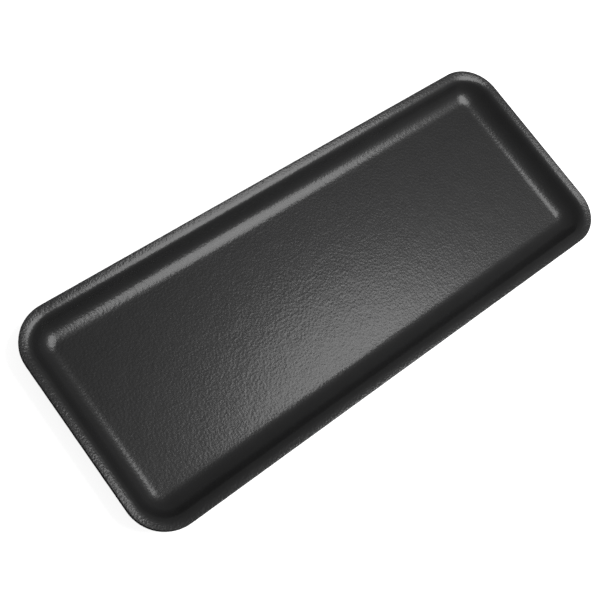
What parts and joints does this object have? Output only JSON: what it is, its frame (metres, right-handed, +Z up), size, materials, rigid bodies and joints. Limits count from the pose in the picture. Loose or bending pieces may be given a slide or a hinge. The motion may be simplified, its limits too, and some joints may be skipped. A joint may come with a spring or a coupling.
{
  "type": "foam meat tray",
  "caption": "Long shallow rectangular foam tray with sloped walls, rounded corners and a narrow rim, for holding raw meat or fish under stretch film.",
  "frame": {"origin": "middle of the flat underside, on the surface that the tray stands on", "axes": "+X along the tray's length, +Y across its width, +Z up, out of the open side"},
  "size_m": [0.375, 0.146, 0.0153],
  "materials": {
    "foam": "black extruded polystyrene foam with a satin skin and a bare cut edge"
  },
  "bodies": {
    "root": {"foam_tray": "foam"}
  },
  "joints": []
}
